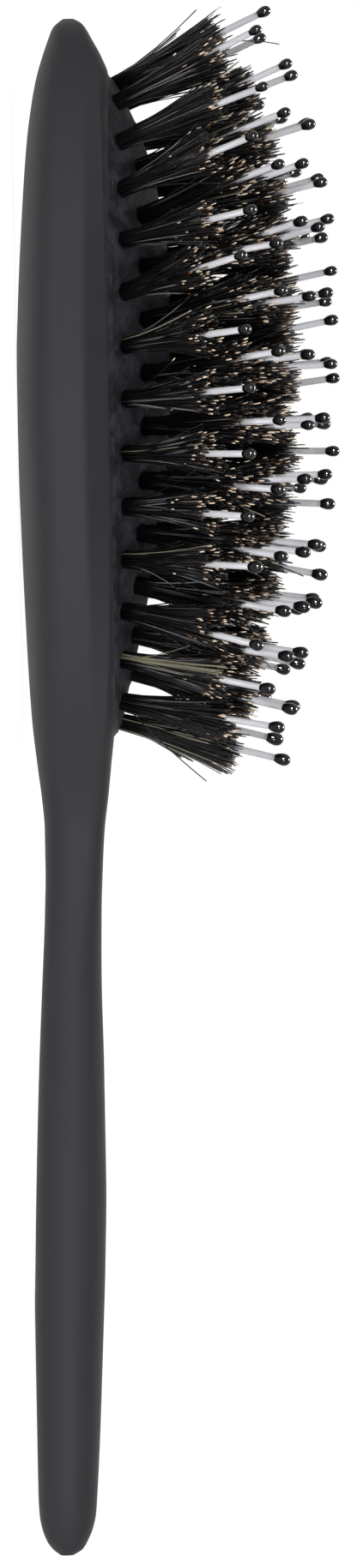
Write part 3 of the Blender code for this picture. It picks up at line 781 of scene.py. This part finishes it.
def makeBristleMesh(name, tuft, seed):
    # P(t) = root + axis L t + outwards r (1 + splay t^p) + drift t^q + lean L t
    random = np.random.default_rng(seed)
    count, each = len(tuft["root"]), bristle["perTuft"]
    shape = (count, each)
    around = random.uniform(0, 2 * np.pi, shape)
    inner = (rings["halfPin"] + bristle["radius"]) / bristle["rootRadius"]
    reach = bristle["rootRadius"] * np.sqrt(random.uniform(inner**2, 1, shape))
    length = bristle["edgeLength" if name.endswith("edge") else "length"]
    length = length * (1 + random.normal(0, bristle["lengthSpread"], shape))
    short = random.random(shape) < bristle["shortShare"]
    length *= np.where(short, random.uniform(*bristle["shortLength"], shape), 1)
    stray = random.random(shape) < bristle["strayShare"]
    limit = bristle["driftLimit"]
    chance = np.clip(random.normal(0, 1, (*shape, 2)), -limit, limit)
    drift = chance * bristle["drift"] * np.where(stray, bristle["strayDrift"], 1)[..., None]
    lean = random.normal(0, bristle["lean"], (count, 1, 2))
    splay = bristle["splay"] * random.uniform(*bristle["splaySpread"], shape)
    thick = bristle["radius"] * random.uniform(*bristle["radiusSpread"], shape)
    turn = random.uniform(0, 2 * np.pi, shape)
    kind = random.random(shape)

    t, taper = np.array(bristle["taper"]).T
    run = length[..., None] * t
    side = (np.stack([np.cos(around), np.sin(around)], -1) * reach[..., None])[:, :, None]
    side = side * (1 + splay[..., None, None] * (t ** bristle["splayPower"])[:, None])
    side = side + drift[:, :, None] * (t ** bristle["driftPower"])[:, None]
    side = side + lean[:, :, None] * run[..., None]
    run[..., 0] = -bristle["embed"]
    axis, across, along = (tuft[key][:, None, None] for key in ("axis", "across", "along"))
    paths = tuft["root"][:, None, None] + axis * run[..., None]
    paths = paths + across * side[..., :1] + along * side[..., 1:]
    if name.endswith("edge"):
        middle, half = bristle["paleSide"]
        pale = nearest(tuft, bristle["paleTuft"])
        kind[pale] = np.where(np.abs(around[pale] - middle) < half, bristle["paleKind"], kind[pale])
    return hairMesh(
        name,
        t,
        paths.reshape(-1, len(t), 3),
        np.repeat(tuft["across"], each, axis=0),
        np.repeat(tuft["along"], each, axis=0),
        thick.reshape(-1, 1) * taper,
        turn.ravel(),
        kind.ravel(),
    )


def makeStrayMesh(name, tuft):
    # P(t) = (1-t)^2 root + 2t(1-t) bend + t^2 end, where the tuft's own lean gives y
    hairs = strays["hairs"][name]
    k = [nearest(tuft, spot) for spot, bend, end in hairs]
    root, axis = tuft["root"][k], tuft["axis"][k]
    x, z = np.array([[bend, end] for spot, bend, end in hairs]).transpose(2, 0, 1)
    y = root[:, 1:2] + axis[:, 1:2] / axis[:, 2:] * (z - root[:, 2:])
    bend, end = np.stack([x, y, z], -1)[:, :, None].transpose(1, 0, 2, 3)
    t = np.linspace(0, 1, strays["points"])
    u = t[:, None]
    paths = (1 - u) ** 2 * root[:, None] + 2 * u * (1 - u) * bend + u**2 * end
    count = len(hairs)
    thick, turn = np.full((count, len(t)), bristle["radius"]), np.zeros(count)
    kind = np.full(count, strays["kind"])
    return hairMesh(
        f"strays_{name}", t, paths, tuft["across"][k], tuft["along"][k], thick, turn, kind
    )


def boarHair():
    # dark hair with a worn end, brown to cream on some hairs, and a painted grey sheen along others
    paint = principled(
        "boarBristle", {"Specular IOR Level": bristle["shine"], "Roughness": bristle["roughness"]}
    )
    along = paint.node("ShaderNodeSeparateXYZ", {}, {0: paint.place("UV")})
    kind = along.beside(1)

    def scatter(chance):
        # another random number from 0 to 1, folded out of the hair's own
        return paint.maths("PINGPONG", kind * bristle["folds"][chance], 0.5) * 2

    start = bristle["tipStart"] + scatter("start") * bristle["tipSpread"]
    tip = paint.between(along, start, start + bristle["tipFade"])
    lit = paint.between(scatter("lit"), *bristle["litKinds"])
    stops = [(0, "colour"), (bristle["brownPlace"], "brownColour"), (1, "tipColour")]
    stops = [(place, bristle[name][:3]) for place, name in stops]
    ramp = paint.node("ShaderNodeValToRGB", {"stops": stops}, {0: tip * lit})
    # painted sheen: a grey streak along the middle of some hairs, painted into their colour
    paintedSheen = paint.between(scatter("paintedSheen"), *bristle["paintedSheenKinds"])
    paintedSheen = paintedSheen * paint.between(along, *bristle["paintedSheenFrom"])
    paintedSheen = paintedSheen * paint.between(along, *bristle["paintedSheenTo"])
    shaded = paint.blend(paintedSheen, ramp, bristle["paintedSheenColour"])
    pale = paint.between(kind, *bristle["paleKinds"]) * bristle["paleShare"]
    colour = paint.blend(pale, shaded, bristle["paleColour"])
    paint.feed(paint.shader, {"Base Color": colour})
    return paint.owner


hair = boarHair()
total = 0
for number, (name, tuft) in enumerate(tufts.items()):
    carrier = rings["bodies"][name]
    mesh = makeBristleMesh(f"bristle_{name}", tuft, bristle["seed"] + number)
    pieceOf(mesh, hair, carrier, nodesOf(f"tufts_{name}"))
    total += len(mesh.polygons)
    if name in strays["hairs"]:
        pieceOf(makeStrayMesh(name, tuft), hair, carrier)
print("bristle:", total, "faces")


# Pins: milky nylon, with a drop of black enamel at the end

pins = {
    "seed": 5,
    "length": 0.0246,  # dome to the middle of the ball
    "radius": 0.0005,
    "sides": 12,
    "embed": 0.001,
    "lean": 0.012,  # of a pin away from the middle of its tuft
    "ballRadius": 0.00078,
    "ballLength": 0.0025,
    "ballPoint": 0.3,  # how much slimmer it is at its shaft, and fuller at its end
    "ballSides": 16,
    "ballLoops": 11,
    "shaftStop": 0.35,  # the shaft ends so many ball lengths under the ball's middle, inside it
    "sizeSpread": 0.07,
    "heelShare": 0.22,  # how much larger the balls are at the handle's end
    "colour": rgb(226, 226, 231),
    "dimColour": rgb(216, 216, 223),
    "solidity": 0.72,  # nylon this thin lets some light through
    "roughness": 0.28,
    "haze": {"scale": 900, "low": 0.3, "high": 0.7},
    "hazeShare": 0.5,
    "enamel": rgb(2, 2, 3),
    "paleEnamel": rgb(5, 5, 5),
    "enamelShine": 0.22,
    "enamelRoughness": 0.05,
    "enamelUneven": 0.03,
    "enamelClouds": {"scale": 1400, "low": 0.3, "high": 0.7},
}


def spun(radius, height, sides):
    # (r cos a, r sin a, z): the profile turned about its axis, with one point at each pole
    a = np.arange(sides) * 2 * np.pi / sides
    r, z = radius[1:-1, None], height[1:-1, None]
    loops = np.stack([r * np.cos(a), r * np.sin(a), z + 0 * a], -1)
    return cappedTube(loops, [[0, 0, height[0]], [0, 0, height[-1]]])


def ballProfile():
    # a drop: r(b) = R sin b (1 - point cos b) and z(b) = length - (L/2) cos b, from the shaft out
    b = np.linspace(0, np.pi, pins["ballLoops"])
    radius = pins["ballRadius"] * np.sin(b) * (1 - pins["ballPoint"] * np.cos(b))
    return radius, pins["length"] - np.cos(b) * pins["ballLength"] / 2


def shaftProfile():
    # a straight shaft from inside the rubber to inside the ball
    radius, foot = pins["radius"], -pins["embed"]
    top = pins["length"] - pins["shaftStop"] * pins["ballLength"]
    return np.array([0, radius, radius, 0]), np.array([foot, foot, top, top])


def planted(shape, tuft, leans, sizes, pivot):
    # P = root + across x + along y + axis z, one copy to each root, each leaning a little from
    # its tuft's axis and scaled about the height of the pivot
    points, quads, tris = shape
    axis = unit(tuft["axis"] + tuft["across"] * leans[:, :1] + tuft["along"] * leans[:, 1:])
    across = unit(tuft["across"] - axis * (tuft["across"] * axis).sum(-1, keepdims=True))
    along = np.cross(axis, across)
    local = (points - [0, 0, pivot]) * sizes[:, None, None] + [0, 0, pivot]
    placed = sum(local[..., k : k + 1] * d[:, None] for k, d in enumerate((across, along, axis)))
    placed = placed + tuft["root"][:, None]
    starts = (np.arange(len(axis)) * len(points))[:, None, None]
    return placed.reshape(-1, 3), (starts + quads).reshape(-1, 4), (starts + tris).reshape(-1, 3)


def nylon():
    # milky white and a little hazy
    paint = principled("milkyNylon", {"Roughness": pins["roughness"], "Alpha": pins["solidity"]})
    haze = paint.patches(**pins["haze"]) * pins["hazeShare"]
    paint.feed(paint.shader, {"Base Color": paint.blend(haze, pins["colour"], pins["dimColour"])})
    return paint.owner


def enamel():
    # glossy black, a little uneven
    paint = principled("blackEnamel", {"Specular IOR Level": pins["enamelShine"]})
    cloud = paint.patches(**pins["enamelClouds"])
    sockets = {
        "Base Color": paint.blend(cloud, pins["enamel"], pins["paleEnamel"]),
        "Roughness": pins["enamelRoughness"] + cloud * pins["enamelUneven"],
    }
    paint.feed(paint.shader, sockets)
    return paint.owner


white, black = nylon(), enamel()
glossy = bpy.data.collections.new("balls")
for number, (name, tuft) in enumerate(tufts.items()):
    random = np.random.default_rng(pins["seed"] + number)
    count, carrier = len(tuft["root"]), rings["bodies"][name]
    leans = random.normal(0, pins["lean"], (count, 2))
    sizes = 1 + pins["sizeSpread"] * random.uniform(-1, 1, count)
    heelwards = np.maximum(dome["x"] - tuft["root"][:, 0], 0)
    sizes += pins["heelShare"] * heelwards / dome["halfLength"]
    shaft = planted(spun(*shaftProfile(), pins["sides"]), tuft, leans, np.ones(count), 0)
    ball = planted(spun(*ballProfile(), pins["ballSides"]), tuft, leans, sizes, pins["length"])
    shaftMesh, ballMesh = meshOf(f"pins_{name}_nylon", *shaft), meshOf(f"balls_{name}", *ball)
    pieceOf(shaftMesh, white, carrier, nodesOf(f"pins_{name}"))
    glossy.objects.link(pieceOf(ballMesh, black, carrier))
print("pins:", sum(len(tuft["root"]) for tuft in tufts.values()))


# Camera, floor and light

shot = {
    "pixels": (416, 1829),
    "pixelSize": 0.00012845,  # metres to a pixel at the brush's middle plane
    "distance": 2.4,
    "roll": 0.01876,  # how far the brush leans out of upright in the picture
    "centre": (0.00015, 0.02295),  # x and z in the middle of the picture
    "sensor": 36.0,  # millimetres
    "clip": (0.01, 20),
}
floor = {
    "halfSize": 4.0,
    "drop": 0.0002,  # under the brush's back
    "colour": rgb(188, 188, 188),
    "otherColour": rgb(190, 190, 190),
    "roughness": 0.9,
    "patches": {"scale": 60, "low": 0.3, "high": 0.7},
    "nearGlow": (0.31, 0.31, 0.31, 1),  # on the camera's side
    "farGlow": (0.33, 0.33, 0.33, 1),
    "fade": (0.03, 0.15),
    "seen": 0.93,  # strength of the white that the camera, mirrors and glass see
    "white": (1, 1, 1, 1),
    "behindWhite": (1.15, 1.15, 1.15, 1),
    "behind": (-0.6, -0.1),  # where it turns wholly white, past the brush's own shadow
}
studio = {
    "ambient": 0.05,
    "target": (0.03, 0, 0.01),
    # each lamp's place, size and watts
    "lamps": {
        "sideTip": ((0.38, 1.0, 0.07), 0.3, 3.8),
        "sideHeel": ((-0.34, 1.0, 0.07), 0.3, 9.2),
        "glint": ((0.65, 0.5, 0.75), 0.22, 0.3),
        "top": ((0.25, -0.7, 0.9), 0.4, 1.2),
    },
    # small bright lamps that light the balls alone
    "ballLamps": {
        "ballSide": ((0.34, 1.0, 0.05), 0.34, 95.0),
        "ballTop": ((0.05, -0.1, 1.1), 0.3, 55.0),
    },
}


def makeCamera():
    # at the brush's side, as far off and as long a lens as make one pixel its size there
    data = bpy.data.cameras.new("camera")
    camera = bpy.data.objects.new("camera", data)
    bpy.context.scene.collection.objects.link(camera)
    height = shot["pixels"][1] * shot["pixelSize"]
    data.sensor_width = shot["sensor"]
    data.lens = shot["sensor"] * shot["distance"] / height
    data.clip_start, data.clip_end = shot["clip"]
    right = Vector((-shot["roll"], 0, 1)).normalized()
    up = Vector((1, 0, shot["roll"])).normalized()
    turn = Matrix((right, up, right.cross(up))).transposed().to_4x4()
    x, z = shot["centre"]
    camera.matrix_world = Matrix.Translation((x, shot["distance"], z)) @ turn
    bpy.context.scene.camera = camera


def areaLight(name, place, size, power):
    # a round lamp that faces the brush
    data = bpy.data.lights.new(name, "AREA")
    data.shape, data.size, data.energy = "DISK", size, power
    light = bpy.data.objects.new(name, data)
    light.location = place
    aim = Vector(studio["target"]) - Vector(place)
    light.rotation_euler = aim.to_track_quat("-Z", "Y").to_euler()
    bpy.context.scene.collection.objects.link(light)
    return light


def seenRays(paint):
    # 1 for rays from the camera, from mirrors and through glass, and 0 for the others
    seen = paint.node("ShaderNodeLightPath", {}, {}, "Is Camera Ray")
    mirrored = paint.maths("MAXIMUM", seen, seen.beside("Is Glossy Ray"))
    return paint.maths("MAXIMUM", mirrored, seen.beside("Is Transmission Ray"))


def makeWorld():
    # white to the camera, mirrors and glass, and a dimmer white as light
    world = bpy.data.worlds.new("studio")
    bpy.context.scene.world = world
    paint = Paint(world, "Background", {"Color": (1, 1, 1, 1)})
    strength = paint.between(seenRays(paint), 0, 1, studio["ambient"], 1)
    paint.feed(paint.shader, {"Strength": strength})


def makeFloor():
    # a pale lit table: nearly white where it is seen, darker as a light, and it takes shadows
    builder = bmesh.new()
    bmesh.ops.create_grid(builder, x_segments=1, y_segments=1, size=floor["halfSize"])
    mesh = bpy.data.meshes.new("floor")
    builder.to_mesh(mesh)
    builder.free()
    constants = {"Roughness": floor["roughness"], "Specular IOR Level": 0.0}
    paint = principled("paleFloor", {**constants, "Emission Strength": 1})
    patches = paint.patches(**floor["patches"])
    ground = paint.blend(patches, floor["colour"], floor["otherColour"])
    side = paint.node("ShaderNodeSeparateXYZ", {}, {0: paint.place()}, 1)
    glow = paint.blend(paint.between(side, *floor["fade"]), floor["farGlow"], floor["nearGlow"])
    paint.feed(paint.shader, {"Base Color": ground, "Emission Color": glow})
    behind = paint.between(side, *floor["behind"])
    white = {
        **constants,
        "Base Color": ground,
        "Emission Color": paint.blend(behind, floor["behindWhite"], floor["white"]),
        "Emission Strength": floor["seen"],
    }
    bright = paint.node("ShaderNodeBsdfPrincipled", {}, white)
    unlit = Wire(paint, paint.shader.outputs[0])
    mixed = paint.node("ShaderNodeMixShader", {}, {0: seenRays(paint), 1: unlit, 2: bright})
    paint.feed(paint.nodes["Material Output"], {"Surface": mixed})
    mesh.materials.append(paint.owner)
    table = bpy.data.objects.new("floor", mesh)
    table.location.z = -floor["drop"]
    bpy.context.scene.collection.objects.link(table)


makeCamera()
makeWorld()
makeFloor()
for name, lamp in studio["lamps"].items():
    areaLight(name, *lamp)
for name, lamp in studio["ballLamps"].items():
    areaLight(name, *lamp).light_linking.receiver_collection = glossy
bpy.context.scene.view_settings.view_transform = "Standard"
print("camera, floor and light")
